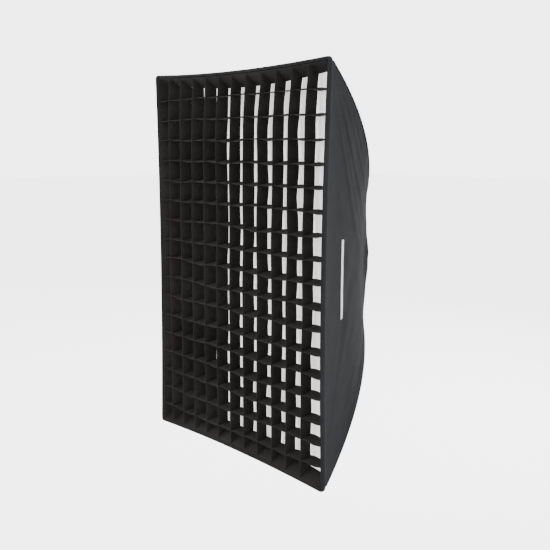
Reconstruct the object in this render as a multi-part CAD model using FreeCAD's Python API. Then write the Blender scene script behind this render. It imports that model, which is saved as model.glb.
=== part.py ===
import FreeCAD, Part
import math
import os

from FreeCAD import Vector

# Rectangular softbox on a rotating bayonet speed ring, folding on four arched ribs.
# Millimetres. +Z is up, the lit front faces -Y, and the origin is the centre of the
# speed ring's rear mounting face.

# ---- front opening and shell -------------------------------------------------
FRONT_HALF_W = 300.0        # half width of the bound front edge
FRONT_HALF_H = 450.0        # half height of the bound front edge
FRONT_Y = -380.0            # plane of the front edge
FRONT_SAG = 9.0             # how far each front edge pulls in at its middle
SIDE_SAG = 21.0             # extra pull-in of a panel at half depth
SHELL_REAR_Y = -22.0        # where the shell meets the rib crown
SHELL_REAR_R = 93.0         # shell's rear corner radius, along a rib
ARCH_POLE = 0.48            # pole of the arch, as a share of the way from hub to corner
CLOTH = 1.8                 # shell thickness, along a rib's normal
ROUND_UNTIL = 0.4           # share of the arch over which the round rear turns rectangular

# ---- front parts: depths behind the front plane, insets from the shell's face -
HEM_DEPTH = 8.0
HEM_WIDTH = 3.0
HEM_GAP = 1.3               # clear of the shell panels' slanted front ends
BAND_INSET = 4.0
BAND_WIDTH = 1.2
BAND_START = 1.0
BAND_DEPTH = 26.0
GRID_INSET = 7.1
GRID_BORDER = 1.2
GRID_START = 3.0            # front of the grid behind the bound edge
GRID_DEPTH = 31.0
GRID_GAP = 0.8              # strip end to border, clear of the pulled-in corners
GRID_COLUMNS = 12
GRID_ROWS = 18
STRIP = 0.8                 # thickness of one grid strip
NOTCH = 1.2                 # width of the half-lap notch in a strip
NOTCH_CLEAR = 0.1           # each notch goes this far past the middle of the strip
DIFFUSER_AT = 35.5
DIFFUSER_INSET = 7.0
DIFFUSER_THICK = 1.0
DIFFUSER_HEM_INSET = 5.0
DIFFUSER_HEM_WIDTH = 18.0
TAPE_THICK = 1.0            # tapes sewn on the back of the diffuser and the baffle
TAPE_BEHIND = 1.2           # their front face behind the cloth's front face
BAFFLE_AT = 150.0
BAFFLE_HALF_W = 150.0
BAFFLE_HALF_H = 245.0
BAFFLE_SAG = 14.0
BAFFLE_THICK = 1.0
BAFFLE_HEM_WIDTH = 14.0
STRAP_WIDTH = 12.0
STRAP_THICK = 1.0
STRAP_OVERLAP = 10.0        # strap sewn over the baffle's corner
STRAP_BEHIND = 2.4          # strap's front face behind the baffle's front face
STRAP_TO_ROD = 5.0

# ---- speed ring and crown ----------------------------------------------------
BORE_R = 55.0
NECK_R = 59.7
FLANGE_R = 76.0
FLANGE_THICK = 4.0
CUP_WALL_R = 70.0
CUP_DEPTH = 20.0
SLACK = 0.3                 # gap between faces that turn on each other
CROWN_R = 90.0
CROWN_FRONT_Y = -42.0
RETAINER_R = 66.0
RETAINER_THICK = 3.0
SCREW_COUNT = 6
SCREW_R = 1.1
SCREW_LENGTH = 11.0
SCREW_HEAD_R = 2.1
SCREW_HEAD_HEIGHT = 1.6
SCREW_SOCKET_R = 0.9
SCREW_SOCKET_DEPTH = 1.0
SCREW_PITCH_R = 57.4
SCREW_FIRST_ANGLE = 15.0
LUG_COUNT = 3
LUG_R = 62.0                # inner face of a lug's foot
LUG_THICK = 4.0
LUG_WIDTH = 22.0
LUG_HEIGHT = 11.0
LUG_REACH = 9.0             # foot's inner face to the hook's outer edge
LUG_HOOK = 3.0
LUG_SEAT = 2.0              # how deep a foot is let into the flange
COLLAR_GAP = 0.4            # crown rim to the elastic collar
COLLAR_THICK = 2.2
COLLAR_REAR_Y = -20.6
COLLAR_FRONT_Y = -26.0

# ---- rib hinges --------------------------------------------------------------
PIVOT_R = 80.0
RIB_INSET = 12.0            # rib axis inside the shell's ridge, along its normal
PIVOT_Y = SHELL_REAR_Y - RIB_INSET
SLOT_WIDTH = 9.0
SLOT_INNER_R = 68.0
SLOT_REAR_Y = -26.0
KNUCKLE_WIDTH = 8.2
BARREL_R = 6.0
CHEEK_CLEAR = 0.2           # socket arm inside the barrel's faces
PIN_R = 2.5
PIN_CLEAR = 0.06
PIN_LENGTH = 18.0
ARM_R = 4.4
ARM_END_R = 116.0
ROD_R = 2.2
ROD_START_R = 98.0
ARM_COLLAR_START_R = 94.0
ROD_END_DEPTH = 50.0        # rods end this far behind the front plane
TIP_R = 3.3
TIP_LENGTH = 16.0
POCKET_GAP = 0.25           # tip to the inside of its webbing pocket
POCKET_WALL = 0.4
POCKET_OPEN = 4.0           # the pocket's mouth stays this far short of the tip cap's root
BUTTON_R = 4.0
BUTTON_OFFSET = 14.0        # clear of the hinge pin's end
BUTTON_AT_R = 76.0
BUTTON_DEPTH = 8.0
BUTTON_PROUD = 4.0
BUTTON_TRAVEL = 3.0
BUTTON_SPRING = 1.0         # room left behind a pressed button for its spring
BUTTON_ROUND = 1.0

# ---- rotation lock -----------------------------------------------------------
LOCK_ANGLE = 180.0
LOCK_Y = -11.0
LOCK_STEM_R = 2.9
LOCK_HOLE_R = 3.0
LOCK_BOSS_R = 7.0
LOCK_BOSS_START = 72.0      # inside the cup wall, short of its inner face
LOCK_BOSS_END = 86.0
LOCK_STEM_IN_KNOB = 10.0
LOCK_KNOB_START = 90.0
LOCK_KNOB_END = 106.0
LOCK_KNOB_R = 9.0
LOCK_FLUTES = 8
LOCK_FLUTE_R = 2.2
LOCK_FLUTE_OUT = 0.8        # flute centres outside the knob's face

RIB_ANGLE = math.degrees(math.atan2(FRONT_HALF_H, FRONT_HALF_W))
RIB_ANGLES = [RIB_ANGLE, 180.0 - RIB_ANGLE, 180.0 + RIB_ANGLE, -RIB_ANGLE]
CORNER_R = math.hypot(FRONT_HALF_W, FRONT_HALF_H)
SHELL_FRONT_Y = FRONT_Y + HEM_DEPTH
X_AXIS = Vector(1, 0, 0)
Y_AXIS = Vector(0, 1, 0)
Z_AXIS = Vector(0, 0, 1)
ORIGIN = Vector(0, 0, 0)


def save(name, shapes):
    """Write one node; several solids in one node stay separate."""
    items = shapes if isinstance(shapes, list) else [shapes]
    shape = items[0] if len(items) == 1 else Part.makeCompound(items)
    bad = [s for s in shape.Solids if not s.isValid() or s.Volume <= 0]
    if bad:
        print("BAD", name, len(bad))
    shape.exportStep("parts/%s.step" % name)
    print("%-26s solids %3d  volume %10.1f" % (name, len(shape.Solids), shape.Volume))


def disc(radius, y_high, y_low):
    """A solid cylinder about the Y axis."""
    return Part.makeCylinder(radius, y_high - y_low, Vector(0, y_low, 0), Y_AXIS)


def ring(outer, inner, y_high, y_low):
    return disc(outer, y_high, y_low).cut(disc(inner, y_high + 1, y_low - 1))


def turned(shape, angle):
    """Turn a shape built along +X to the given angle, counted from +X towards +Z."""
    copy = shape.copy()
    copy.rotate(ORIGIN, Y_AXIS, -angle)
    return copy


# ---- shell -------------------------------------------------------------------
def arch_point(t):
    """Shell ridge in a rib's plane: (radius, y), t from 0 at the hub to 1 at the front."""
    pole_r = SHELL_REAR_R + ARCH_POLE * (CORNER_R - SHELL_REAR_R)
    a = (1 - t) ** 2
    b = 2 * t * (1 - t)
    c = t ** 2
    radius = a * SHELL_REAR_R + b * pole_r + c * CORNER_R
    y = (a + b) * SHELL_REAR_Y + c * SHELL_FRONT_Y
    return radius, y


def arch_normal(t):
    """Unit normal of the ridge, pointing out of the box: (radius part, y part)."""
    step = 1e-4
    r0, y0 = arch_point(t - step)
    r1, y1 = arch_point(t + step)
    length = math.hypot(r1 - r0, y1 - y0)
    return -(y1 - y0) / length, (r1 - r0) / length


def roundness(t):
    """1 where the section is a circle about the crown, 0 where it is a rectangle."""
    return max(0.0, 1 - t / ROUND_UNTIL) ** 2


def panel_sag(t):
    """Pull-in of a panel's middle at arch position t."""
    depth = (arch_point(t)[1] - SHELL_FRONT_Y) / (SHELL_REAR_Y - SHELL_FRONT_Y)
    bulge = 2 * math.sqrt(max(0.0, depth * (1 - depth)))
    return (FRONT_SAG + SIDE_SAG * bulge) * arch_point(t)[0] / CORNER_R


def section_point(radius, t, u, side):
    """Point of the section whose corners are at `radius`: (x, z)."""
    half_w = radius * FRONT_HALF_W / CORNER_R
    half_h = radius * FRONT_HALF_H / CORNER_R
    pull = panel_sag(t) * (1 - u * u)
    flat_x, flat_z, start, span = [
        (half_w - pull, u * half_h, 0, RIB_ANGLE),
        (-u * half_w, half_h - pull, 90, 90 - RIB_ANGLE),
        (-half_w + pull, -u * half_h, 180, RIB_ANGLE),
        (u * half_w, -half_h + pull, 270, 90 - RIB_ANGLE),
    ][side]
    angle = math.radians(start + u * span)
    share = roundness(t)
    x = share * radius * math.cos(angle) + (1 - share) * flat_x
    z = share * radius * math.sin(angle) + (1 - share) * flat_z
    return x, z


def panel_point(t, u, inset, side):
    """A point of one panel; u runs -1 to 1 from rib to rib, side 0 right, 1 top, 2 left, 3 bottom."""
    radius, y = arch_point(t)
    nr, ny = arch_normal(t)
    x, z = section_point(radius - inset * nr, t, u, side)
    return Vector(x, y - inset * ny, z)


def surface(points):
    spline = Part.BSplineSurface()
    spline.interpolate(points)
    return spline.toShape()


def panel(side):
    """One thin closed panel between two ribs."""
    stations = [i / 10.0 for i in range(11)]
    across = [-1 + i / 4.0 for i in range(9)]
    outer = surface([[panel_point(t, u, 0.0, side) for u in across] for t in stations])
    inner = surface([[panel_point(t, u, CLOTH, side) for u in across] for t in stations])
    faces = [outer, inner]
    for a, b in zip(outer.Edges, inner.Edges):
        faces.append(Part.makeRuledSurface(a, b))
    shell = Part.makeShell(faces)
    shell.sewShape()
    solid = Part.makeSolid(Part.Shell(shell.Faces))
    if solid.Volume < 0:
        solid.reverse()
    return solid


# ---- front parts that follow the narrowing shell -----------------------------
def arch_at_depth(depth):
    """Arch position of the shell at a depth behind the front plane."""
    low, high = 0.0, 1.0
    for _ in range(40):
        middle = (low + high) / 2
        if arch_point(middle)[1] - FRONT_Y > depth:
            low = middle
        else:
            high = middle
    return low


def wall(depth):
    """Half width, half height and pull-in of the shell's outside at a depth."""
    t = arch_at_depth(depth)
    radius = arch_point(t)[0]
    return radius * FRONT_HALF_W / CORNER_R, radius * FRONT_HALF_H / CORNER_R, panel_sag(t)


def arc_loop(w, h, sag, y):
    """Closed wire of four arcs, pulled in at the middle of each side."""
    corners = [Vector(w, y, h), Vector(-w, y, h), Vector(-w, y, -h), Vector(w, y, -h)]
    middles = [Vector(0, y, h - sag), Vector(-w + sag, y, 0), Vector(0, y, -h + sag), Vector(w - sag, y, 0)]
    edges = []
    for i in range(4):
        edges.append(Part.Arc(corners[i], middles[i], corners[(i + 1) % 4]).toShape())
    return Part.Wire(edges)


def outline(inset, depth):
    half_w, half_h, sag = wall(depth)
    return arc_loop(half_w - inset, half_h - inset, sag, FRONT_Y + depth)


def sheet(wire, thickness):
    return Part.Face(wire).extrude(Vector(0, thickness, 0))


def band(inset, width, start, depth):
    """A closed band that leans in with the shell, from `start` to `start + depth`."""
    stop = start + depth
    outer = Part.makeLoft([outline(inset, start), outline(inset, stop)], True, True)
    inner = Part.makeLoft([outline(inset + width, start), outline(inset + width, stop)], True, True)
    return outer.cut(inner)


# ---- grid --------------------------------------------------------------------
def strip_reach(position, depth, along_height):
    """Half length of the strip at `position`, measured to the border at one depth."""
    half_w, half_h, sag = wall(depth)
    across, along = (half_w, half_h) if along_height else (half_h, half_w)
    share = position / across
    return along - GRID_INSET - GRID_BORDER - GRID_GAP - sag * (1 - share * share)


def strip_points(position, notches, along_height):
    """Comb-shaped outline (length, depth), notched in front when it runs along the height."""
    depths = [GRID_START, GRID_START + GRID_DEPTH]
    reach = [strip_reach(position, depth, along_height) for depth in depths]
    cut_in, plain = (0, 1) if along_height else (1, 0)
    middle = GRID_START + GRID_DEPTH / 2
    stop = middle + (NOTCH_CLEAR if along_height else -NOTCH_CLEAR)
    points = [(-reach[plain], depths[plain]), (-reach[cut_in], depths[cut_in])]
    for place in notches:
        points += [(place - NOTCH / 2, depths[cut_in]), (place - NOTCH / 2, stop)]
        points += [(place + NOTCH / 2, stop), (place + NOTCH / 2, depths[cut_in])]
    points += [(reach[cut_in], depths[cut_in]), (reach[plain], depths[plain])]
    return points


def places(count, half):
    """Where the strips stand between the two borders."""
    pitch = 2 * (half - GRID_INSET) / count
    return [(i - count / 2.0) * pitch for i in range(1, count)]


def grid_columns():
    """Upright strips, notched from the front."""
    solids = []
    rows = places(GRID_ROWS, FRONT_HALF_H)
    for x in places(GRID_COLUMNS, FRONT_HALF_W):
        points = strip_points(x, rows, True)
        loop = [Vector(x - STRIP / 2, FRONT_Y + depth, z) for z, depth in points]
        face = Part.Face(Part.makePolygon(loop + [loop[0]]))
        solids.append(face.extrude(Vector(STRIP, 0, 0)))
    return solids


def grid_rows():
    """Level strips, notched from behind."""
    solids = []
    columns = places(GRID_COLUMNS, FRONT_HALF_W)
    for z in places(GRID_ROWS, FRONT_HALF_H):
        points = strip_points(z, columns, False)
        loop = [Vector(x, FRONT_Y + depth, z - STRIP / 2) for x, depth in points]
        face = Part.Face(Part.makePolygon(loop + [loop[0]]))
        solids.append(face.extrude(Vector(0, 0, STRIP)))
    return solids


# ---- ribs, built along +X and then turned ------------------------------------
def rib_path():
    """Rib axis: from the hinge pin, then inside the shell's ridge to behind the diffuser."""
    last = arch_at_depth(ROD_END_DEPTH)
    points = [Vector(PIVOT_R, PIVOT_Y, 0)]
    for i in range(9):
        t = last * i / 8.0
        radius, y = arch_point(t)
        nr, ny = arch_normal(t)
        points.append(Vector(radius - RIB_INSET * nr, y - RIB_INSET * ny, 0))
    curve = Part.BSplineCurve()
    curve.interpolate(points)
    return curve


def path_parameter(curve, radius):
    """Where the path reaches a given radius."""
    low, high = curve.FirstParameter, curve.LastParameter
    for _ in range(40):
        middle = (low + high) / 2
        if curve.value(middle).x < radius:
            low = middle
        else:
            high = middle
    return low


def tube(curve, start, end, radius):
    """Round solid bar along part of the path."""
    spine = Part.Wire([curve.toShape(start, end)])
    profile = Part.Face(Part.Wire([Part.makeCircle(radius, curve.value(start), curve.tangent(start)[0])]))
    body = spine.makePipe(profile)
    if body.Volume < 0:
        body.reverse()
    return body


def rib_rod(curve):
    return tube(curve, path_parameter(curve, ROD_START_R), curve.LastParameter, ROD_R)


def rib_knuckle(curve):
    """Barrel on the hinge pin with a socket arm that grips the rod."""
    hole_start = Vector(PIVOT_R, PIVOT_Y, -KNUCKLE_WIDTH)
    pin_hole = Part.makeCylinder(PIN_R + PIN_CLEAR, 2 * KNUCKLE_WIDTH, hole_start, Z_AXIS)
    corner = Vector(PIVOT_R, PIVOT_Y, -KNUCKLE_WIDTH / 2)
    barrel = Part.makeCylinder(BARREL_R, KNUCKLE_WIDTH, corner, Z_AXIS)
    arm_end = path_parameter(curve, ARM_END_R)
    arm = tube(curve, curve.FirstParameter, arm_end, KNUCKLE_WIDTH / 2 - CHEEK_CLEAR)
    collar = tube(curve, path_parameter(curve, ARM_COLLAR_START_R), arm_end, ARM_R)
    body = barrel.fuse([arm, collar]).removeSplitter()
    return body.cut(pin_hole).cut(rib_rod(curve))


def rib_tip(curve):
    """Round cap pushed over the rod's front end."""
    end = curve.value(curve.LastParameter)
    tangent = curve.tangent(curve.LastParameter)[0]
    tangent.normalize()
    start = end - tangent * TIP_LENGTH
    cap = Part.makeCylinder(TIP_R, TIP_LENGTH, start, tangent)
    dome = Part.makeSphere(TIP_R, end)
    return cap.fuse(dome).removeSplitter().cut(rib_rod(curve))


def corner_pocket(curve):
    """Webbing cup with a round end over a rib's tip, open towards the hub."""
    end = curve.value(curve.LastParameter)
    tangent = curve.tangent(curve.LastParameter)[0]
    tangent.normalize()
    length = TIP_LENGTH - POCKET_OPEN
    inner_r = TIP_R + POCKET_GAP
    outer_r = inner_r + POCKET_WALL
    start = end - tangent * length
    cup = Part.makeCylinder(outer_r, length, start, tangent).fuse(Part.makeSphere(outer_r, end))
    mouth = start - tangent
    hollow = Part.makeCylinder(inner_r, length + 1, mouth, tangent).fuse(Part.makeSphere(inner_r, end))
    return cup.removeSplitter().cut(hollow.removeSplitter())


def rib_pin():
    start = Vector(PIVOT_R, PIVOT_Y, -PIN_LENGTH / 2)
    return Part.makeCylinder(PIN_R, PIN_LENGTH, start, Z_AXIS)


def release_button():
    """Button that stands out of the crown's front face beside its rib."""
    y_low = CROWN_FRONT_Y - BUTTON_PROUD
    length = BUTTON_PROUD + BUTTON_DEPTH - BUTTON_TRAVEL - BUTTON_SPRING
    stem = Part.makeCylinder(BUTTON_R, length, Vector(BUTTON_AT_R, y_low, BUTTON_OFFSET), Y_AXIS)
    rim = [e for e in stem.Edges if abs(e.CenterOfMass.y - y_low) < 0.01]
    return stem.makeFillet(BUTTON_ROUND, rim)


# ---- speed ring group --------------------------------------------------------
def speed_ring():
    flange = ring(FLANGE_R, BORE_R, 0, -FLANGE_THICK)
    neck = ring(NECK_R, BORE_R, -FLANGE_THICK, CROWN_FRONT_Y - SLACK)
    cup = ring(FLANGE_R, CUP_WALL_R, -FLANGE_THICK, -CUP_DEPTH)
    boss_start = Vector(LOCK_BOSS_START, LOCK_Y, 0)
    boss = Part.makeCylinder(LOCK_BOSS_R, LOCK_BOSS_END - LOCK_BOSS_START, boss_start, X_AXIS)
    body = flange.fuse([neck, cup, turned(boss, LOCK_ANGLE)])
    hole_start = Vector(CUP_WALL_R - 1, LOCK_Y, 0)
    hole = Part.makeCylinder(LOCK_HOLE_R, LOCK_BOSS_END - CUP_WALL_R + 2, hole_start, X_AXIS)
    body = body.cut(turned(hole, LOCK_ANGLE)).cut(Part.makeCompound(screw_group(True)))
    return body.cut(Part.makeCompound(bayonet_lugs())).removeSplitter()


def screw_group(as_holes):
    """Cheese-head screws through the retaining ring into the neck."""
    solids = []
    face_y = CROWN_FRONT_Y - SLACK
    front = face_y - RETAINER_THICK
    for i in range(SCREW_COUNT):
        angle = 360.0 * i / SCREW_COUNT + SCREW_FIRST_ANGLE
        x = SCREW_PITCH_R * math.cos(math.radians(angle))
        z = SCREW_PITCH_R * math.sin(math.radians(angle))
        shank = Part.makeCylinder(SCREW_R, SCREW_LENGTH, Vector(x, front, z), Y_AXIS)
        if as_holes:
            solids.append(shank)
            continue
        top = Vector(x, front - SCREW_HEAD_HEIGHT, z)
        head = Part.makeCylinder(SCREW_HEAD_R, SCREW_HEAD_HEIGHT, top, Y_AXIS)
        socket = Part.makeCylinder(SCREW_SOCKET_R, SCREW_SOCKET_DEPTH, top, Y_AXIS)
        solids.append(head.fuse(shank).cut(socket))
    return solids


def retaining_ring():
    face_y = CROWN_FRONT_Y - SLACK
    plate = ring(RETAINER_R, BORE_R, face_y, face_y - RETAINER_THICK)
    return plate.cut(Part.makeCompound(screw_group(True)))


def bayonet_lugs():
    """Feet let into the flange, each with an outward hook above the mounting face."""
    foot = Part.makeBox(LUG_THICK, LUG_HEIGHT + LUG_SEAT, LUG_WIDTH,
                        Vector(LUG_R, -LUG_SEAT, -LUG_WIDTH / 2))
    hook = Part.makeBox(LUG_REACH, LUG_HOOK, LUG_WIDTH,
                        Vector(LUG_R, LUG_HEIGHT - LUG_HOOK, -LUG_WIDTH / 2))
    lug = foot.fuse(hook).removeSplitter()
    return [turned(lug, 90 + 360.0 * i / LUG_COUNT) for i in range(LUG_COUNT)]


def rib_crown():
    """Turning ring with a slot for each rib, carried between flange and retaining ring."""
    inner = NECK_R + SLACK
    spigot = ring(CUP_WALL_R - SLACK, inner, -FLANGE_THICK - SLACK, -CUP_DEPTH - SLACK)
    head = ring(CROWN_R, inner, -CUP_DEPTH - SLACK, CROWN_FRONT_Y)
    body = spigot.fuse(head).removeSplitter()
    slot = Part.makeBox(CROWN_R - SLOT_INNER_R + 5, SLOT_REAR_Y - CROWN_FRONT_Y + 1, SLOT_WIDTH,
                        Vector(SLOT_INNER_R, CROWN_FRONT_Y - 1, -SLOT_WIDTH / 2))
    button_hole = Part.makeCylinder(BUTTON_R + SLACK, BUTTON_DEPTH + 1,
                                    Vector(BUTTON_AT_R, CROWN_FRONT_Y - 1, BUTTON_OFFSET), Y_AXIS)
    for angle in RIB_ANGLES:
        for tool in (slot, rib_pin(), button_hole):
            body = body.cut(turned(tool, angle))
    return body


def rear_collar():
    """Elastic band that closes the shell on the crown's rim."""
    inner = CROWN_R + COLLAR_GAP
    return ring(inner + COLLAR_THICK, inner, COLLAR_REAR_Y, COLLAR_FRONT_Y)


def lock_stem():
    start = Vector(CUP_WALL_R + 0.1, LOCK_Y, 0)
    return Part.makeCylinder(LOCK_STEM_R, LOCK_KNOB_START + LOCK_STEM_IN_KNOB - start.x, start, X_AXIS)


def lock_knob():
    """Fluted grip moulded on the stem."""
    length = LOCK_KNOB_END - LOCK_KNOB_START
    start = Vector(LOCK_KNOB_START, LOCK_Y, 0)
    knob = Part.makeCylinder(LOCK_KNOB_R, length, start, X_AXIS)
    for i in range(LOCK_FLUTES):
        angle = 2 * math.pi * i / LOCK_FLUTES
        reach = LOCK_KNOB_R + LOCK_FLUTE_OUT
        place = start + Vector(-1, reach * math.cos(angle), reach * math.sin(angle))
        knob = knob.cut(Part.makeCylinder(LOCK_FLUTE_R, length + 2, place, X_AXIS))
    return knob.cut(lock_stem())


# ---- baffle ------------------------------------------------------------------
def baffle_wire(inset, y):
    return arc_loop(BAFFLE_HALF_W - inset, BAFFLE_HALF_H - inset, BAFFLE_SAG, y)


def baffle_strap(angle):
    """Flat elastic from a baffle corner to just short of its rib."""
    y = FRONT_Y + BAFFLE_AT + STRAP_BEHIND
    sign_x = 1 if math.cos(math.radians(angle)) > 0 else -1
    sign_z = 1 if math.sin(math.radians(angle)) > 0 else -1
    start = Vector(sign_x * (BAFFLE_HALF_W - STRAP_OVERLAP), y, sign_z * (BAFFLE_HALF_H - STRAP_OVERLAP))
    reach = rib_radius_at(y) - ROD_R - STRAP_TO_ROD
    target = Vector(reach * math.cos(math.radians(angle)), y, reach * math.sin(math.radians(angle)))
    run = target - start
    across = Vector(run.z, 0, -run.x)
    across.normalize()
    side = across * (STRAP_WIDTH / 2)
    loop = [start - side, start + side, target + side, target - side]
    return Part.Face(Part.makePolygon(loop + [loop[0]])).extrude(Y_AXIS * STRAP_THICK)


def rib_radius_at(y):
    """Radius of the rib axis at a given depth."""
    curve = rib_path()
    low, high = curve.FirstParameter, curve.LastParameter
    for _ in range(40):
        middle = (low + high) / 2
        if curve.value(middle).y > y:
            low = middle
        else:
            high = middle
    return curve.value(low).x


def main():
    os.makedirs("parts", exist_ok=True)
    curve = rib_path()

    save("speed_ring", speed_ring())
    save("bayonet_lugs", bayonet_lugs())
    save("retaining_ring", retaining_ring())
    save("retaining_screws", screw_group(False))
    save("rib_crown", rib_crown())
    save("rib_hinge_pins", [turned(rib_pin(), a) for a in RIB_ANGLES])
    save("lock_stem", turned(lock_stem(), LOCK_ANGLE))
    save("lock_knob", turned(lock_knob(), LOCK_ANGLE))

    rod = rib_rod(curve)
    knuckle = rib_knuckle(curve)
    tip = rib_tip(curve)
    button = release_button()
    for number, angle in enumerate(RIB_ANGLES, 1):
        save("rib_rod_%d" % number, turned(rod, angle))
        save("rib_knuckle_%d" % number, turned(knuckle, angle))
        save("rib_tip_%d" % number, turned(tip, angle))
        save("release_button_%d" % number, turned(button, angle))
    save("corner_pockets", [turned(corner_pocket(curve), a) for a in RIB_ANGLES])

    for side, name in enumerate(["right", "top", "left", "bottom"]):
        save("shell_panel_%s" % name, panel(side))
    save("rear_collar", rear_collar())
    save("front_hem", band(0.0, HEM_WIDTH, 0.0, HEM_DEPTH - HEM_GAP))
    save("hook_tape", band(BAND_INSET, BAND_WIDTH, BAND_START, BAND_DEPTH))

    save("grid_border", band(GRID_INSET, GRID_BORDER, GRID_START, GRID_DEPTH))
    save("grid_columns", grid_columns())
    save("grid_rows", grid_rows())
    save("front_diffuser", sheet(outline(DIFFUSER_INSET, DIFFUSER_AT), DIFFUSER_THICK))
    tape_at = DIFFUSER_AT + TAPE_BEHIND
    save("diffuser_hem", band(DIFFUSER_HEM_INSET, DIFFUSER_HEM_WIDTH, tape_at, TAPE_THICK))

    baffle_y = FRONT_Y + BAFFLE_AT
    save("inner_baffle", sheet(baffle_wire(0.0, baffle_y), BAFFLE_THICK))
    hem_outer = sheet(baffle_wire(0.0, baffle_y + TAPE_BEHIND), TAPE_THICK)
    hem_inner = sheet(baffle_wire(BAFFLE_HEM_WIDTH, baffle_y), TAPE_BEHIND + TAPE_THICK + 1)
    save("baffle_hem", hem_outer.cut(hem_inner))
    save("baffle_straps", [baffle_strap(a) for a in RIB_ANGLES])


main()
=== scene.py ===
import math

import bmesh
import bpy
import numpy as np
from mathutils import Matrix, Vector, noise


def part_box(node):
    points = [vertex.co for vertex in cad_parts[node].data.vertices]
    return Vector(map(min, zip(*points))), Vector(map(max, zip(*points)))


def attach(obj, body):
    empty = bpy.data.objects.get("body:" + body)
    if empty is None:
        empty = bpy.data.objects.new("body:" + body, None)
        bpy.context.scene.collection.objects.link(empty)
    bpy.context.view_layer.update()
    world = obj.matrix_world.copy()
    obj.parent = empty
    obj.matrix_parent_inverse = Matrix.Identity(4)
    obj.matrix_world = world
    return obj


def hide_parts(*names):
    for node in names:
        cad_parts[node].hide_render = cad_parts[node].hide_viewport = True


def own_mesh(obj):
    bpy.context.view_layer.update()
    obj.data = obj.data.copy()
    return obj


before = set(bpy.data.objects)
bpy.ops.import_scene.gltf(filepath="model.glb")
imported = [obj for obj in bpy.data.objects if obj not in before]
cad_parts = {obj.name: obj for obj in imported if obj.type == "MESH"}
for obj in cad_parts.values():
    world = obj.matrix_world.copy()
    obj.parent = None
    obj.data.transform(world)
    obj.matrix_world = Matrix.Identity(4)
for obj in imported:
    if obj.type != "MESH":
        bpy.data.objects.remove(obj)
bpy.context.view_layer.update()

# ---- sizes, in metres; the outer ones come from the frame ----------------------
hem_low, hem_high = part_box("front_hem")
panel_low, panel_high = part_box("shell_panel_top")
HALF_W = hem_high.x
HALF_H = hem_high.z
FRONT_Y = hem_low.y
REAR_Y = panel_high.y
HEM_DEPTH = 0.008
REAR_R = 0.093
ARCH_POLE = 0.48
FRONT_SAG = 0.009
SIDE_SAG = 0.021
ROUND_UNTIL = 0.4
CORNER_R = math.hypot(HALF_W, HALF_H)
SHELL_FRONT_Y = FRONT_Y + HEM_DEPTH
RIB_ANGLE = math.atan2(HALF_H, HALF_W)
PANELS = ["right", "top", "left", "bottom"]
RIB_ANGLES = [RIB_ANGLE, math.pi - RIB_ANGLE, math.pi + RIB_ANGLE, -RIB_ANGLE]

SHARP_ANGLE = math.radians(50)      # faces that meet at more than this stay crisp

CLOTH = 0.0009              # thickness of the shell
CORNER_SHARE = 0.03         # share of a half side that the rounded corner takes
COLUMNS = 12
ROWS = 18
GRID_START = 0.003          # front of the grid behind the bound edge
GRID_DEPTH = 0.031
GRID_INSET = 0.0071
STRIP = 0.0009              # thickness of a grid strip
STRIP_CLEAR = 0.0020        # from a strip's end to the inset line
GRID_BULGE = 0.003
SECTOR_SLOPES = (0.5, 1.0, 2.0)     # rays from a corner that part the front cloth in four
DIFFUSER_AT = 0.0355
DIFFUSER_INSET = 0.007
BAFFLE_AT = 0.150
BAFFLE_HALF_W = 0.150
BAFFLE_HALF_H = 0.245
BAFFLE_SAG = 0.014
SEAM_HALF = 0.0052          # half the width of the binding along a ridge
PATCH_FROM = 0.800          # the pale bar's span on the arch parameter t
PATCH_TO = 0.820
FLOOR_DROP = 0.55           # floor below the box


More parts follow.
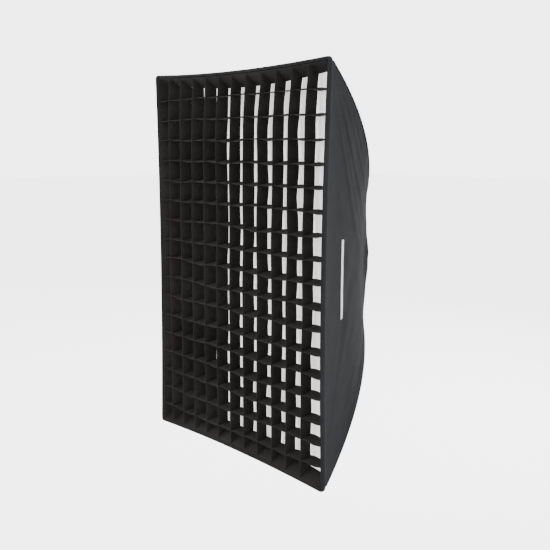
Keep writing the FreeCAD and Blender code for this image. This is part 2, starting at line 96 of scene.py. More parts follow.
# ---- node helpers --------------------------------------------------------------
class Material:
    """A Principled material with short ways to add nodes."""

    def __init__(self, name, color, roughness, metallic=0.0, sheen=0.0, specular=0.5):
        self.data = bpy.data.materials.new(name)
        self.data.use_nodes = True
        self.tree = self.data.node_tree
        self.shader = self.tree.nodes["Principled BSDF"]
        self.color = color
        self.shader.inputs["Base Color"].default_value = (*color, 1)
        self.shader.inputs["Roughness"].default_value = roughness
        self.shader.inputs["Metallic"].default_value = metallic
        self.shader.inputs["Sheen Weight"].default_value = sheen
        self.shader.inputs["Sheen Roughness"].default_value = 0.5
        self.shader.inputs["Specular IOR Level"].default_value = specular

    def node(self, kind, **inputs):
        made = self.tree.nodes.new(kind)
        for key, value in inputs.items():
            made.inputs[key.replace("_", " ")].default_value = value
        return made

    def link(self, start, end):
        self.tree.links.new(start, end)

    def coords(self, kind, scale):
        """Texture coordinates in metres times a scale on each axis."""
        source = self.node("ShaderNodeTexCoord")
        mapping = self.node("ShaderNodeMapping", Scale=scale)
        self.link(source.outputs[kind], mapping.inputs["Vector"])
        return mapping.outputs["Vector"]

    def wave(self, coords, direction, scale):
        made = self.node("ShaderNodeTexWave", Scale=scale, Distortion=0.4, Detail=1.0)
        made.bands_direction = direction
        self.link(coords, made.inputs["Vector"])
        return made.outputs["Fac"]

    def noise(self, coords, scale, detail=4.0):
        made = self.node("ShaderNodeTexNoise", Scale=scale, Detail=detail)
        self.link(coords, made.inputs["Vector"])
        return made.outputs["Fac"]

    def math(self, operation, a, b):
        made = self.node("ShaderNodeMath")
        made.operation = operation
        for socket, value in zip(made.inputs, (a, b)):
            if isinstance(value, (int, float)):
                socket.default_value = value
            else:
                self.link(value, socket)
        return made.outputs[0]

    def vary_color(self, factor, low, high):
        """Base colour runs from low to high times the colour as factor goes 0.3 to 0.7."""
        ramp = self.node("ShaderNodeValToRGB")
        ramp.color_ramp.elements[0].position = 0.3
        ramp.color_ramp.elements[1].position = 0.7
        for element, share in zip(ramp.color_ramp.elements, (low, high)):
            element.color = (*[min(1.0, c * share) for c in self.color], 1)
        self.link(factor, ramp.inputs["Fac"])
        self.link(ramp.outputs["Color"], self.shader.inputs["Base Color"])

    def vary_roughness(self, factor, low, high):
        made = self.node("ShaderNodeMapRange")
        made.inputs["To Min"].default_value = low
        made.inputs["To Max"].default_value = high
        self.link(factor, made.inputs["Value"])
        self.link(made.outputs["Result"], self.shader.inputs["Roughness"])

    def bump(self, height, strength, distance):
        made = self.node("ShaderNodeBump", Strength=strength, Distance=distance)
        self.link(height, made.inputs["Height"])
        self.link(made.outputs["Normal"], self.shader.inputs["Normal"])


def cloth_material(name, color, roughness, threads, sheen, distance, low=0.75, high=1.35):
    """Plain weave: `threads` per metre each way, with slow colour changes and rub marks."""
    made = Material(name, color, roughness, sheen=sheen, specular=0.4)
    made.shader.inputs["IOR"].default_value = 1.12
    flat = made.coords("UV", (1, 1, 1))
    warp = made.wave(flat, "X", threads)
    weft = made.wave(flat, "Y", threads)
    weave = made.math("MULTIPLY", warp, weft)
    broad = made.noise(flat, 7.0)
    fine = made.noise(flat, 160.0, 2.0)
    mixed = made.math("ADD", made.math("MULTIPLY", broad, 0.75), made.math("MULTIPLY", fine, 0.25))
    made.vary_color(mixed, low, high)
    made.vary_roughness(mixed, roughness - 0.08, roughness + 0.1)
    made.bump(weave, 0.55, distance)
    return made.data


def silver_material():
    """Metallised coating on the inside of the shell: fine pebble and creases."""
    made = Material("silver_coating", (0.45, 0.46, 0.48), 0.36, metallic=0.9)
    flat = made.coords("UV", (1, 1, 1))
    pebble = made.noise(flat, 420.0, 2.0)
    crease = made.noise(flat, 24.0, 6.0)
    made.vary_roughness(crease, 0.28, 0.46)
    made.bump(made.math("ADD", pebble, crease), 0.5, 0.0006)
    return made.data


def diffuser_material_with_painted_glow():
    """White nylon with faint weave and soft mottling, and a painted glow: a weak, even emission of its own stands in
    for light on the sheet.
    """
    made = Material("white_nylon_painted_glow", (0.72, 0.705, 0.68), 0.7, sheen=0.05, specular=0.2)
    flat = made.coords("UV", (1, 1, 1))
    weave = made.math("MULTIPLY", made.wave(flat, "X", 900.0), made.wave(flat, "Y", 900.0))
    made.vary_color(made.noise(flat, 5.0), 0.93, 1.04)
    made.bump(weave, 0.3, 0.0003)
    # Painted glow: the sheet emits light though it is no lamp and no lamp is behind it.
    made.shader.inputs["Emission Color"].default_value = (1.0, 0.95, 0.90, 1)
    made.shader.inputs["Emission Strength"].default_value = 0.35
    return made.data


def hard_material(name, color, roughness, metallic=0.0, grain=600.0, depth=0.00015, stretch=(1, 1, 1)):
    """Moulded plastic, powder coat or drawn metal, by grain and stretch."""
    made = Material(name, color, roughness, metallic)
    place = made.coords("Object", stretch)
    broad = made.noise(place, 30.0)
    made.vary_color(broad, 0.85, 1.2)
    made.vary_roughness(broad, roughness - 0.06, roughness + 0.1)
    made.bump(made.noise(place, grain, 3.0), 0.4, depth)
    return made.data


MATERIALS = {
    "shell": cloth_material("shell_weave", (0.0040, 0.0043, 0.0050), 0.80, 700.0, 0.004, 0.0004),
    "binding": cloth_material("binding_tape", (0.0055, 0.0060, 0.0070), 0.72, 420.0, 0.006, 0.0005),
    "grid": cloth_material("grid_tape", (0.0078, 0.0075, 0.0068), 0.8, 520.0, 0.004, 0.0004, 0.7, 1.5),
    "hook": cloth_material("hook_tape_pile", (0.011, 0.011, 0.0115), 0.9, 330.0, 0.01, 0.0010),
    "elastic": cloth_material("ribbed_elastic", (0.008, 0.008, 0.009), 0.75, 300.0, 0.01, 0.0009),
    "thread": cloth_material("sewing_thread", (0.013, 0.0135, 0.015), 0.6, 1500.0, 0.01, 0.0002),
    "patch": cloth_material("pale_patch", (0.30, 0.305, 0.31), 0.6, 600.0, 0.05, 0.0003, 0.9, 1.05),
    "silver": silver_material(),
    "white": diffuser_material_with_painted_glow(),
    "coat": hard_material("powder_coat", (0.012, 0.012, 0.013), 0.42, 0.1, 900.0, 0.0002),
    "zinc": hard_material("zinc_plate", (0.30, 0.30, 0.31), 0.34, 1.0, 500.0, 0.0001),
    "rod": hard_material("drawn_steel", (0.20, 0.20, 0.21), 0.3, 1.0, 300.0, 0.0001, (1, 0.05, 1)),
    "plastic": hard_material("moulded_plastic", (0.010, 0.010, 0.011), 0.5, 0.0, 1100.0, 0.0003),
    "button": hard_material("button_plastic", (0.20, 0.010, 0.008), 0.4, 0.0, 1100.0, 0.0002),
}


# ---- mesh helpers --------------------------------------------------------------
def make_object(name, points, faces, materials, indices=None, uvs=None, smooth=True):
    mesh = bpy.data.meshes.new(name)
    mesh.from_pydata([tuple(p) for p in points], [], faces)
    for key in materials:
        mesh.materials.append(MATERIALS[key])
    if indices is not None:
        mesh.polygons.foreach_set("material_index", indices)
    layer = mesh.uv_layers.new(name="UVMap")
    if uvs is not None:
        loops = np.zeros(len(mesh.loops), np.int32)
        mesh.loops.foreach_get("vertex_index", loops)
        layer.data.foreach_set("uv", np.asarray(uvs, np.float32)[loops].ravel())
    mesh.polygons.foreach_set("use_smooth", [smooth] * len(mesh.polygons))
    mesh.update()
    if smooth:
        mesh.set_sharp_from_angle(angle=SHARP_ANGLE)
    made = bpy.data.objects.new(name, mesh)
    bpy.context.scene.collection.objects.link(made)
    return made


def grid_normals(p):
    """Unit normals of a grid of points, by central differences."""
    n = np.cross(np.gradient(p, axis=0), np.gradient(p, axis=1))
    return n / np.maximum(np.linalg.norm(n, axis=2, keepdims=True), 1e-12)


def grid_uv(p):
    """Distance along each way of the grid, in metres."""
    along = np.zeros(p.shape[:2])
    across = np.zeros(p.shape[:2])
    along[1:] = np.cumsum(np.linalg.norm(np.diff(p, axis=0), axis=2), axis=0)
    across[:, 1:] = np.cumsum(np.linalg.norm(np.diff(p, axis=1), axis=2), axis=1)
    across -= across[:, across.shape[1] // 2][:, None]
    return np.stack([across, along], 2).reshape(-1, 2)


def slab(name, p, thickness, outside, materials, inside_index=None):
    """Closed sheet: the given grid of points and a copy `thickness` behind it.
    outside is 1 or -1 and says which side of the grid the outer face is on."""
    n, m = p.shape[:2]
    back = p - grid_normals(p) * (outside * thickness)
    points = np.concatenate([p.reshape(-1, 3), back.reshape(-1, 3)])
    uv = grid_uv(p)
    base = n * m
    faces = []
    indices = []
    for i in range(n - 1):
        for j in range(m - 1):
            a = i * m + j
            quad = [a, a + 1, a + m + 1, a + m]
            quad = quad[::-1] if outside > 0 else quad
            faces.append(quad)
            indices.append(0)
            faces.append([base + k for k in reversed(quad)])
            inner = 0 if inside_index is None else int(inside_index[i, j])
            indices.append(inner)
    rim = [(0, j) for j in range(m)] + [(i, m - 1) for i in range(1, n)]
    rim += [(n - 1, j) for j in range(m - 2, -1, -1)] + [(i, 0) for i in range(n - 2, 0, -1)]
    ring = [i * m + j for i, j in rim]
    for a, b in zip(ring, ring[1:] + ring[:1]):
        quad = [a, b, base + b, base + a]
        faces.append(quad if outside > 0 else quad[::-1])
        indices.append(0)
    made = make_object(name, points, faces, materials, indices, np.concatenate([uv, uv]))
    area = np.linalg.norm(np.cross(np.diff(p, axis=0)[:, :-1], np.diff(p, axis=1)[:-1]), axis=2).sum()
    made["cloth_area"] = float(area)
    made["cloth_flat"] = [float(np.ptp(uv[:, 0])), float(np.ptp(uv[:, 1]))]
    return made


def stitches(name, path, normals, pitch=0.0052, length=0.0036, radius=0.00042):
    """One row of raised thread stitches along a path."""
    steps = np.linalg.norm(np.diff(path, axis=0), axis=1)
    distance = np.concatenate([[0], np.cumsum(steps)])
    points = []
    faces = []
    uvs = []
    for start in np.arange(pitch, distance[-1] - pitch, pitch):
        ends = [np.array([np.interp(d, distance, path[:, k]) for k in range(3)])
                for d in (start, start + length)]
        up = np.array([np.interp(start, distance, normals[:, k]) for k in range(3)])
        up /= np.linalg.norm(up)
        side = np.cross(ends[1] - ends[0], up)
        side /= np.linalg.norm(side)
        middle = (ends[0] + ends[1]) / 2 + up * radius
        ring = [middle + up * radius, middle + side * radius, middle - up * radius, middle - side * radius]
        base = len(points)
        points += [ends[0], ends[1], *ring]
        uvs += [(start, 0)] * 6
        for k in range(4):
            a = base + 2 + k
            b = base + 2 + (k + 1) % 4
            faces += [[base, b, a], [base + 1, a, b]]
    return make_object(name, points, faces, ["thread"], uvs=uvs)


def wobble(*place):
    return noise.noise(Vector([float(v) for v in (*place, 0, 0, 0)][:3]))


def gather_on_rib(piece, number):
    """Shell cloth that goes with a rib: parented to the rib's body, with a mesh of its own."""
    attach(piece, "rib_%d" % number)
    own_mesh(piece)


def corner(number):
    """Front corner at a rib: signs of x and z."""
    angle = RIB_ANGLES[number - 1]
    return math.copysign(1, math.cos(angle)), math.copysign(1, math.sin(angle))


def gather_to_tip(piece, number):
    """Front cloth that goes with a rib: parented to the rib's body, with a mesh of its own."""
    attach(piece, "rib_%d" % number)
    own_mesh(piece)


# ---- the shell's surface -------------------------------------------------------
def arch(t):
    """Ridge radius and depth position, t from 0 at the hub to 1 at the front."""
    pole = REAR_R + ARCH_POLE * (CORNER_R - REAR_R)
    radius = (1 - t) ** 2 * REAR_R + 2 * t * (1 - t) * pole + t ** 2 * CORNER_R
    return radius, (1 - t ** 2) * REAR_Y + t ** 2 * SHELL_FRONT_Y


def section(t):
    """Half width and half height of the shell's section, with its ridge radius and y."""
    radius, y = arch(t)
    return radius * HALF_W / CORNER_R, radius * HALF_H / CORNER_R, radius, y


def arch_at_depth(depth):
    """Arch position at a depth behind the front plane."""
    share = (REAR_Y - FRONT_Y - depth) / (REAR_Y - SHELL_FRONT_Y)
    return math.sqrt(min(1.0, max(0.0, share)))


def panel_sag(t):
    depth = (arch(t)[1] - SHELL_FRONT_Y) / (REAR_Y - SHELL_FRONT_Y)
    bulge = 2 * math.sqrt(max(0.0, depth * (1 - depth)))
    return (FRONT_SAG + SIDE_SAG * bulge) * arch(t)[0] / CORNER_R


def side_point(side, u, w, h, sag, radius, share):
    """Point of one side of a section; u runs -1 to 1 from rib to rib."""
    pull = sag * (1 - u * u)
    x, z, start, span = [
        (w - pull, u * h, 0, RIB_ANGLE),
        (-u * w, h - pull, math.pi / 2, math.pi / 2 - RIB_ANGLE),
        (-w + pull, -u * h, math.pi, RIB_ANGLE),
        (u * w, -h + pull, 1.5 * math.pi, math.pi / 2 - RIB_ANGLE),
    ][side]
    angle = start + u * span
    return np.array([share * radius * math.cos(angle) + (1 - share) * x,
                     share * radius * math.sin(angle) + (1 - share) * z])


def quarter(number, s, w, h, sag, radius=0.0, share=0.0):
    """Point of a section's quarter round one rib, s from -1 to 1 between two side middles."""
    def plain(v):
        side, u = (number - 1, 1 + v) if v <= 0 else (number % 4, v - 1)
        return side_point(side, u, w, h, sag, radius, share)
    if abs(s) >= CORNER_SHARE:
        return plain(s)
    k = (s + CORNER_SHARE) / (2 * CORNER_SHARE)
    a, c, b = plain(-CORNER_SHARE), plain(0.0), plain(CORNER_SHARE)
    return (1 - k) ** 2 * a + 2 * k * (1 - k) * c + k ** 2 * b


def spread(count, power=1.5):
    """Values from -1 to 1 that crowd round 0, where the ridge is."""
    q = np.linspace(-1, 1, 2 * count + 1)
    return np.sign(q) * np.abs(q) ** power


def shell_grid(number, stations, count, lift=0.0):
    """Points of one gore, with soft folds pushed along the surface normal."""
    ts = np.linspace(0, 1, stations)
    ss = spread(count)
    p = np.zeros((stations, len(ss), 3))
    push = np.zeros((stations, len(ss)))
    for i, t in enumerate(ts):
        w, h, radius, y = section(t)
        share = max(0.0, 1 - t / ROUND_UNTIL) ** 2
        for j, s in enumerate(ss):
            x, z = quarter(number, s, w, h, panel_sag(t), radius, share)
            p[i, j] = (x, y, z)
            side, u = (number - 1, 1 + s) if s <= 0 else (number % 4, s - 1)
            push[i, j] = shell_fold(side, u, t)
    normals = grid_normals(p)
    outward = np.sign(np.einsum("ijk,ijk->ij", normals, p - np.array([0, FRONT_Y, 0])).mean())
    return p + normals * (outward * (push + lift))[:, :, None], outward


def shell_fold(side, u, t):
    """Height of the cloth's soft folds; none at the ribs, the hub or the front edge."""
    edge = min(1.0, (1 - abs(u)) / 0.12) * min(1.0, t / 0.12) * min(1.0, (1 - t) / 0.20)
    long_folds = wobble(side * 9.1 + u * 3.2, t * 7.0, side)
    toward_corner = math.atan2(1.02 - abs(u), 1.05 - t)
    radiating = wobble(side * 4.7 + 11.0 * toward_corner, side * 3.3, math.copysign(2.0, u))
    small = wobble(side * 6.1 + u * 14.0, t * 12.0, 4.0)
    height = 0.0016 * long_folds + 0.0026 * radiating * t + 0.0008 * small
    return edge * (height - 0.0014)


# ---- shell and its trim --------------------------------------------------------
def build_shell():
    for number in range(1, 5):
        p, outward = shell_grid(number, 84, 44)
        ys = (p[:-1, :-1, 1] + p[1:, 1:, 1]) / 2
        silver = np.where(ys > FRONT_Y + DIFFUSER_AT + 0.004, 1, 0)
        gore = slab("shell_gore_%d" % number, p, CLOTH, outward, ["shell", "silver"], silver)
        gather_on_rib(gore, number)
        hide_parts("shell_panel_" + PANELS[number - 1])
        build_ridge_seam(number)


def build_ridge_seam(number):
    """Bound seam along the rib with a stitch row each side."""
    ts = np.linspace(0.03, 0.985, 120)
    rows = []
    for t in ts:
        w, h, radius, y = section(t)
        share = max(0.0, 1 - t / ROUND_UNTIL) ** 2
        reach = SEAM_HALF / max(0.03, (w + h) / 2)
        line = [quarter(number, s, w, h, panel_sag(t), radius, share)
                for s in np.linspace(-reach, reach, 9)]
        rows.append([(x, y, z) for x, z in line])
    p = np.array(rows)
    normals = grid_normals(p)
    outward = np.sign(np.einsum("ijk,ijk->ij", normals, p - np.array([0, FRONT_Y, 0])).mean())
    normals = normals * outward
    crown = 1 - np.linspace(-1, 1, 9) ** 2
    raised = p + normals * (0.0006 + 0.0007 * crown)[None, :, None]
    tape = slab("ridge_binding_%d" % number, raised, 0.0008, outward, ["binding"])
    gather_on_rib(tape, number)
    for column, label in ((1, "a"), (7, "b")):
        row = stitches("ridge_stitches_%d%s" % (number, label), raised[:, column], normals[:, column])
        gather_on_rib(row, number)


def arm_spread(count, arm):
    """Half of spread(): the low side of a rib for arm 0, the high side for arm 1."""
    values = spread(count)
    return values[:count + 1] if arm == 0 else values[count:]


def rim_path(number, arm, inset, depth, count=40):
    """One arm of the front outline at a depth, inset from the shell's face."""
    t = arch_at_depth(depth)
    w, h = [half - inset for half in section(t)[:2]]
    line = [quarter(number, s, w, h, panel_sag(t)) for s in arm_spread(count, arm)]
    return np.array([(x, FRONT_Y + depth, z) for x, z in line])


def build_hem():
    """Rolled binding round the front edge, with stitches on its side and front."""
    for number in range(1, 5):
        for arm in (0, 1):
            build_hem_arm(number, arm, "%d%s" % (number, "ab"[arm]))


def build_hem_arm(number, arm, label):
    turns = 16
    path = rim_path(number, arm, 0.0, 0.0)
    tangent = np.gradient(path, axis=0)
    tangent /= np.linalg.norm(tangent, axis=1, keepdims=True)
    out = np.cross(tangent, [0, 1, 0])
    out *= np.sign((out * path).sum(axis=1))[:, None]
    rings = []
    for i, point in enumerate(path):
        ripple = 1 + 0.08 * wobble(point[0] * 45, point[2] * 45, 2)
        ring = []
        for k in range(turns):
            angle = 2 * math.pi * k / turns
            across = math.copysign(abs(math.cos(angle)) ** 0.7, math.cos(angle))
            deep = math.copysign(abs(math.sin(angle)) ** 0.7, math.sin(angle))
            centre = point - out[i] * 0.0016 + np.array([0, 0.0052, 0])
            ring.append(centre + out[i] * across * 0.0024 * ripple + np.array([0, deep * 0.0056, 0]))
        rings.append(ring)
    points = np.array(rings)
    faces = []
    for i in range(len(path) - 1):
        for k in range(turns):
            a, b = i * turns + k, i * turns + (k + 1) % turns
            faces.append([a, b, b + turns, a + turns])
    faces.append(list(range(turns))[::-1])
    last = (len(path) - 1) * turns
    faces.append([last + k for k in range(turns)])
    run = np.concatenate([[0], np.cumsum(np.linalg.norm(np.diff(path, axis=0), axis=1))])
    uvs = [(run[i], 0.0016 * k) for i in range(len(path)) for k in range(turns)]
    hem = make_object("front_binding_" + label, points.reshape(-1, 3), faces, ["binding"], uvs=uvs)
    fix_normals(hem)
    gather_to_tip(hem, number)
    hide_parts("front_hem")
    rows = {
        "front_side_stitches_": (path + out * 0.0006 + np.array([0, 0.0078, 0]), out),
        "front_face_stitches_": (path - out * 0.0022 + np.array([0, -0.0003, 0]),
                                 np.tile([0.0, -1.0, 0.0], (len(path), 1))),
    }
    for name, (line, normal) in rows.items():
        row = stitches(name + label, line, normal)
        gather_to_tip(row, number)


def fix_normals(piece):
    """Turn a closed mesh's faces outward."""
    mesh = bmesh.new()
    mesh.from_mesh(piece.data)
    bmesh.ops.recalc_face_normals(mesh, faces=mesh.faces)
    mesh.to_mesh(piece.data)
    mesh.free()


def build_band(label, node, key, inset, width, start, depth, ripple):
    """Tape inside the lip, leaning in with the shell."""
    for number in range(1, 5):
        for arm in (0, 1):
            rows = [rim_path(number, arm, inset, start + depth * k / 4) for k in range(5)]
            p = np.stack(rows, 1)
            for i in range(p.shape[0]):
                for k in range(5):
                    p[i, k] *= 1 + ripple * wobble(p[i, k, 0] * 30, p[i, k, 2] * 30, k * 0.3)
                    p[i, k, 1] = FRONT_Y + start + depth * k / 4
            normals = grid_normals(p)
            outward = np.sign((normals * p * np.array([1, 0, 1])).sum(axis=2).mean())
            tape = slab("%s_%d%s" % (label, number, "ab"[arm]), p, width, outward, [key])
            gather_to_tip(tape, number)
            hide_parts(node)


# ---- grid ----------------------------------------------------------------------
def front_region(x, z):
    """Rib and sector that a place on the front belongs to."""
    number = (1 if x >= 0 else 2) if z >= 0 else (4 if x >= 0 else 3)
    u, v = 1 - abs(x) / HALF_W, 1 - abs(z) / HALF_H
    slope = v / max(u, 1e-9)
    return number, sum(slope >= limit for limit in SECTOR_SLOPES)


def strip_reach(position, depth, along_height):
    t = arch_at_depth(depth)
    w, h = section(t)[:2]
    across, along = (w, h) if along_height else (h, w)
    share = min(1.0, abs(position) / across)
    return along - GRID_INSET - STRIP_CLEAR - panel_sag(t) * (1 - share * share)


def strip_lean(x):
    """How far an upright strip's rear edge stands off sideways from its front edge."""
    share = (x + HALF_W) / (2 * HALF_W)
    return 0.007 * min(1.0, max(0.0, 1 - (share - 0.30) / 0.16))


def strip_slack(x, z):
    """Sideways hang of an upright strip; its upper end is held in line."""
    share = (x + HALF_W) / (2 * HALF_W)
    held = min(1.0, max(0.0, (HALF_H - z) / 0.13))
    return -(0.005 + 0.011 * share) * held ** 0.7


def strip_point(along_height, index, place, along, level):
    """Middle of a strip at one place: `along` its length, level 0 in front to 1 behind."""
    front = 1 - level
    if along_height:
        loose = 0.6 + 0.4 * math.sin(math.pi * min(1.0, (HALF_H - abs(along)) / 0.1) / 2)
        across = place + strip_slack(place, along) + strip_lean(place) * level * loose
        across += 0.0034 * wobble(index * 3.7, along * 7, 1)
        across += 0.0050 * wobble(index * 5.1, along * 15, 2) * level * loose
        x, z = across, along
    else:
        pitch = 2 * (HALF_W - GRID_INSET) / COLUMNS
        cell = math.sin(math.pi * along / pitch) ** 2
        across = place + 0.0030 * wobble(index * 2.9, along * 8, 5) - 0.0020 * cell
        across -= 0.0050 * front * (1 + wobble(index * 4.3, along * 12, 7))
        x, z = along, across
    bulge = GRID_BULGE * (1 - (x / HALF_W) ** 2) * (1 - (z / HALF_H) ** 2)
    return x, FRONT_Y + GRID_START - bulge * front + level * GRID_DEPTH, z


def add_ribbon(batch, along_height, index, place, start, stop, ends):
    """A closed strip from start to stop; ends says which ends meet the border."""
    levels = 4
    steps = max(4, int(abs(stop - start) / 0.007))
    base = len(batch["points"])
    for i in range(steps + 1):
        share = i / steps
        for side in (-1, 1):
            for k in range(levels):
                level = k / (levels - 1)
                depth = GRID_START + level * GRID_DEPTH
                low = -strip_reach(place, depth, along_height) if ends[0] else start
                high = strip_reach(place, depth, along_height) if ends[1] else stop
                point = list(strip_point(along_height, index, place, low + (high - low) * share, level))
                point[0 if along_height else 2] += side * STRIP / 2
                batch["points"].append(point)
                batch["uvs"].append((low + (high - low) * share, level * GRID_DEPTH + side))
    ring = list(range(levels)) + [levels + k for k in reversed(range(levels))]
    size = 2 * levels
    for i in range(steps):
        for a, b in zip(ring, ring[1:] + ring[:1]):
            first, second = base + i * size, base + (i + 1) * size
            batch["faces"].append([first + a, first + b, second + b, second + a])
    batch["faces"].append([base + k for k in reversed(ring)])
    batch["faces"].append([base + steps * size + k for k in ring])


def strip_runs(place, along_height):
    """Stretches of a strip between the places where the front cloth parts."""
    reach = strip_reach(place, GRID_START, along_height)
    half, across = (HALF_H, HALF_W) if along_height else (HALF_W, HALF_H)
    gap = 1 - abs(place) / across
    cuts = {0.0}
    for slope in SECTOR_SLOPES:
        along = half * (1 - gap * slope)
        if 0.004 < along < reach - 0.004:
            cuts |= {along, -along}
    cuts = [-reach, *sorted(cuts), reach]
    return list(zip(cuts, cuts[1:]))


def build_grid():
    batches = {}
    for along_height, count, half, label in ((True, COLUMNS, HALF_W, "columns"), (False, ROWS, HALF_H, "rows")):
        pitch = 2 * (half - GRID_INSET) / count
        for index in range(1, count):
            place = (index - count / 2) * pitch
            runs = strip_runs(place, along_height)
            for k, (start, stop) in enumerate(runs):
                middle = (start + stop) / 2
                region = front_region(place, middle) if along_height else front_region(middle, place)
                batch = batches.setdefault((label, *region), {"points": [], "faces": [], "uvs": []})
                add_ribbon(batch, along_height, index, place, start, stop, (k == 0, k == len(runs) - 1))
    for (label, number, sector), batch in sorted(batches.items()):
        name = "grid_%s_%d%s" % (label, number, "abcd"[sector])
        piece = make_object(name, batch["points"], batch["faces"], ["grid"], uvs=batch["uvs"], smooth=False)
        fix_normals(piece)
        gather_to_tip(piece, number)
        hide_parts("grid_" + label)


# ---- diffuser and baffle -------------------------------------------------------
def flat_cloth(label, node, half_w, half_h, sag, y, ripple, to_tip):
    """White sheet in four sectors at each corner, each going with its corner's rib."""
    def point(a, b):
        x = a * (half_w - sag * (1 - b * b))
        z = b * (half_h - sag * (1 - a * a))
        folds = 0.6 + wobble(x * 6, z * 9, 3) + 0.5 * wobble(x * 19, z * 15, 8)
        return x, y + ripple * max(0.0, folds) * min(1.0, (1 - abs(a)) / 0.05, (1 - abs(b)) / 0.04), z

    ends = [((0.0, 1.0), (0.0, 0.5)), ((0.0, 0.5), (0.0, 0.0)), ((0.0, 0.0), (0.5, 0.0)), ((0.5, 0.0), (1.0, 0.0))]
    for number in range(1, 5):
        sx, sz = corner(number)
        for sector, (first, last) in enumerate(ends):
            rows = []
            for q in np.linspace(0, 1, 17):
                a1, b1 = [f + (g - f) * q for f, g in zip(first, last)]
                rows.append([point(sx * (1 + (a1 - 1) * r), sz * (1 + (b1 - 1) * r))
                             for r in np.linspace(0.004, 1, 41)])
            p = np.array(rows)
            outward = np.sign(-grid_normals(p)[:, :, 1].mean())
            piece = slab("%s_%d%s" % (label, number, "abcd"[sector]), p, 0.0006, outward, ["white"])
            longest = float(np.linalg.norm(p[:, -1] - p[:, 0], axis=1).max())
            piece["cloth_flat"] = [longest, 2.05 * piece["cloth_area"] / longest]
            if to_tip:
                gather_to_tip(piece, number)
            else:
                gather_on_rib(piece, number)
            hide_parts(node)


def build_diffuser():
    t = arch_at_depth(DIFFUSER_AT)
    w, h = [half - DIFFUSER_INSET for half in section(t)[:2]]
    flat_cloth("front_diffuser", "front_diffuser", w, h, panel_sag(t), FRONT_Y + DIFFUSER_AT, 0.0035, True)
    build_band("diffuser_hem", "diffuser_hem", "binding", 0.0052, 0.0010, 0.037, 0.006, 0.0)


def build_baffle():
    y = FRONT_Y + BAFFLE_AT
    flat_cloth("inner_baffle", "inner_baffle", BAFFLE_HALF_W, BAFFLE_HALF_H, BAFFLE_SAG, y, 0.0014, False)
    for number in range(1, 5):
        sx, sz = corner(number)
        start = np.array([sx * (BAFFLE_HALF_W - 0.012), y + 0.002, sz * (BAFFLE_HALF_H - 0.012)])
        low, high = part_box("baffle_straps")
        end = np.array([sx * (high.x - 0.004), y + 0.002, sz * (high.z - 0.004)])
        across = np.cross(end - start, [0, 1, 0])
        across /= np.linalg.norm(across)
        p = np.array([[start + (end - start) * k / 24 + across * c
                       + np.array([0, 0.0012 * math.sin(math.pi * k / 24), 0])
                       for c in np.linspace(-0.006, 0.006, 5)] for k in range(25)])
        strap = slab("baffle_strap_%d" % number, p, 0.0012, 1, ["elastic"])
        fix_normals(strap)
        gather_on_rib(strap, number)
        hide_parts("baffle_straps")
        build_baffle_hem(number, y)


def build_baffle_hem(number, y):
    rows = []
    for s in spread(30, 1.2):
        ring = []
        for k in range(4):
            inset = 0.004 * k
            x, z = quarter(number, s, BAFFLE_HALF_W - inset, BAFFLE_HALF_H - inset, BAFFLE_SAG)
            ring.append((x, y - 0.0008, z))
        rows.append(ring)
    hem = slab("baffle_hem_%d" % number, np.array(rows), 0.0008, 1, ["binding"])
    fix_normals(hem)
    gather_on_rib(hem, number)
    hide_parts("baffle_hem")


# ---- hub trim ------------------------------------------------------------------
def build_collar():
    """Ribbed elastic that closes the shell on the crown."""
    low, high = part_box("rear_collar")
    outer, back, front = high.x, high.y, low.y
    steps, turns = 240, 8
    points = []
    for i in range(steps):
        angle = 2 * math.pi * i / steps
        ripple = 0.00045 * math.cos(angle * 60)
        for k in range(turns):
            turn = 2 * math.pi * k / turns
            radius = outer - 0.0013 + (0.0011 + ripple) * math.cos(turn)
            y = (back + front) / 2 + (back - front) * 0.47 * math.sin(turn)
            points.append((radius * math.cos(angle), y, radius * math.sin(angle)))
    faces = []
    for i in range(steps):
        for k in range(turns):
            a, b = i * turns + k, i * turns + (k + 1) % turns
            c, d = ((i + 1) % steps) * turns + (k + 1) % turns, ((i + 1) % steps) * turns + k
            faces.append([a, b, c, d])
    uvs = [(0.0024 * i, 0.001 * k) for i in range(steps) for k in range(turns)]
    collar = make_object("rear_elastic", points, faces, ["elastic"], uvs=uvs)
    fix_normals(collar)
    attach(collar, "box")
    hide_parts("rear_collar")


def build_pockets():
    """Webbing cup over each rib tip."""
    for number in range(1, 5):
        low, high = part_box("rib_tip_%d" % number)
        sx, sz = math.copysign(1, low.x + high.x), math.copysign(1, low.z + high.z)
        tip = np.array([high.x if sx > 0 else low.x, low.y, high.z if sz > 0 else low.z])
        root = np.array([low.x if sx > 0 else high.x, high.y, low.z if sz > 0 else high.z])
        axis = tip - root
        axis /= np.linalg.norm(axis)
        side = np.cross(axis, [0, 1, 0])
        side /= np.linalg.norm(side)
        other = np.cross(axis, side)
        rows = []
        for along, radius in ((-0.018, 0.0042), (-0.010, 0.0041), (-0.003, 0.0040), (0.0, 0.0034), (0.0012, 0.0018)):
            ring = [tip - axis * 0.002 + axis * along + radius * (side * math.cos(a) + other * math.sin(a))
                    for a in np.linspace(0, 2 * math.pi, 25)]
            rows.append(ring)
        cup = slab("tip_pocket_%d" % number, np.array(rows), 0.0006, 1, ["binding"])
        fix_normals(cup)
        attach(cup, "rib_%d" % number)
        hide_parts("corner_pockets")


def build_side_patch():
    """Plain pale bar on the right panel, in two lengths that meet at the panel's middle."""
    ts = np.linspace(PATCH_FROM, PATCH_TO, 5)
    for number, low, high in ((1, 0.0, 0.20), (4, -0.27, 0.0)):
        us = np.linspace(low, high, 24)
        rows = []
        for t in ts:
            w, h, radius, y = section(t)
            row = []
            for u in us:
                x, z = side_point(0, u, w, h, panel_sag(t), radius, 0.0)
                row.append((x + 0.0006 + shell_fold(0, u, t), y + 0.0004, z))
            rows.append(row)
        p = np.array(rows)
        patch = slab("side_patch_%d" % number, p, 0.0005, np.sign(grid_normals(p)[:, :, 0].mean()), ["patch"])
        gather_on_rib(patch, number)


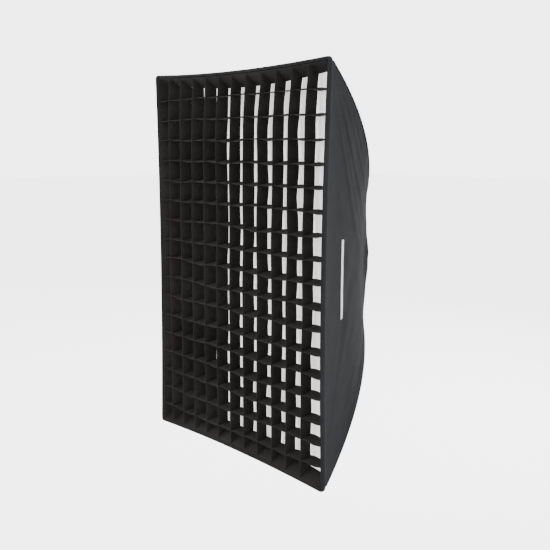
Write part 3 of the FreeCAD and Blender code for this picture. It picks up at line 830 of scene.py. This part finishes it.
# ---- hard parts keep their CAD meshes ------------------------------------------
def finish_hard_parts():
    finishes = {"speed_ring": "coat", "rib_crown": "coat", "retaining_ring": "zinc", "bayonet_lugs": "zinc",
                "retaining_screws": "zinc", "rib_hinge_pins": "zinc", "lock_stem": "zinc", "lock_knob": "plastic",
                "rib_rod": "rod", "rib_knuckle": "plastic", "rib_tip": "plastic", "release_button": "button"}
    for name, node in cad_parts.items():
        for start, key in finishes.items():
            if name.startswith(start):
                node.data.materials.clear()
                node.data.materials.append(MATERIALS[key])


# ---- studio --------------------------------------------------------------------
def area_light(name, place, target, size, power):
    data = bpy.data.lights.new(name, "AREA")
    data.shape = "RECTANGLE"
    data.size, data.size_y = size
    data.energy = power
    lamp = bpy.data.objects.new(name, data)
    lamp.location = place
    lamp.rotation_euler = (Vector(target) - Vector(place)).to_track_quat("-Z", "Y").to_euler()
    bpy.context.scene.collection.objects.link(lamp)


def build_studio():
    floor_z = -HALF_H - FLOOR_DROP
    floor = bpy.data.meshes.new("floor")
    floor.from_pydata([(-30, -30, floor_z), (30, -30, floor_z), (30, 30, floor_z), (-30, 30, floor_z)],
                      [], [(0, 1, 2, 3)])
    pale = bpy.data.materials.new("pale_floor")
    pale.use_nodes = True
    pale.node_tree.nodes["Principled BSDF"].inputs["Base Color"].default_value = (0.9, 0.9, 0.9, 1)
    pale.node_tree.nodes["Principled BSDF"].inputs["Roughness"].default_value = 0.9
    floor.materials.append(pale)
    ground = bpy.data.objects.new("floor", floor)
    bpy.context.scene.collection.objects.link(ground)
    world = bpy.data.worlds.new("studio")
    world.use_nodes = True
    world.node_tree.nodes["Background"].inputs["Color"].default_value = (1, 1, 1, 1)
    world.node_tree.nodes["Background"].inputs["Strength"].default_value = 4.6
    bpy.context.scene.world = world
    middle = (0, FRONT_Y, 0)
    area_light("key", (-1.2, FRONT_Y - 2.4, 1.6), middle, (1.8, 1.8), 110)
    area_light("side", (3.0, FRONT_Y - 0.2, 1.2), middle, (1.6, 2.0), 25)
    area_light("back", (-0.6, 2.6, 1.8), (0, 0, 0), (1.6, 1.6), 160)


def build_camera():
    """Standing to the right of the front, looking back across it and slightly down."""
    data = bpy.data.cameras.new("camera")
    data.sensor_width = 36.0
    data.lens = 50.4
    camera = bpy.data.objects.new("camera", data)
    heading, pitch, roll = math.radians(47.5), math.radians(9.3), math.radians(0.34)
    turn = Matrix.Rotation(heading, 4, "Z") @ Matrix.Rotation(math.pi / 2 - pitch, 4, "X")
    turn = turn @ Matrix.Rotation(roll, 4, "Z")
    camera.matrix_world = Matrix.Translation((1.364, FRONT_Y - 1.115, 0.271)) @ turn
    bpy.context.scene.collection.objects.link(camera)
    bpy.context.scene.camera = camera


build_camera()
build_studio()
finish_hard_parts()
build_shell()
build_hem()
build_band("lip_hook_tape", "hook_tape", "hook", 0.0042, 0.0010, 0.002, 0.024, 0.0)
build_band("grid_border", "grid_border", "grid", GRID_INSET, 0.0012, GRID_START, GRID_DEPTH, 0.0006)
build_grid()
build_diffuser()
build_baffle()
build_collar()
build_pockets()
build_side_patch()
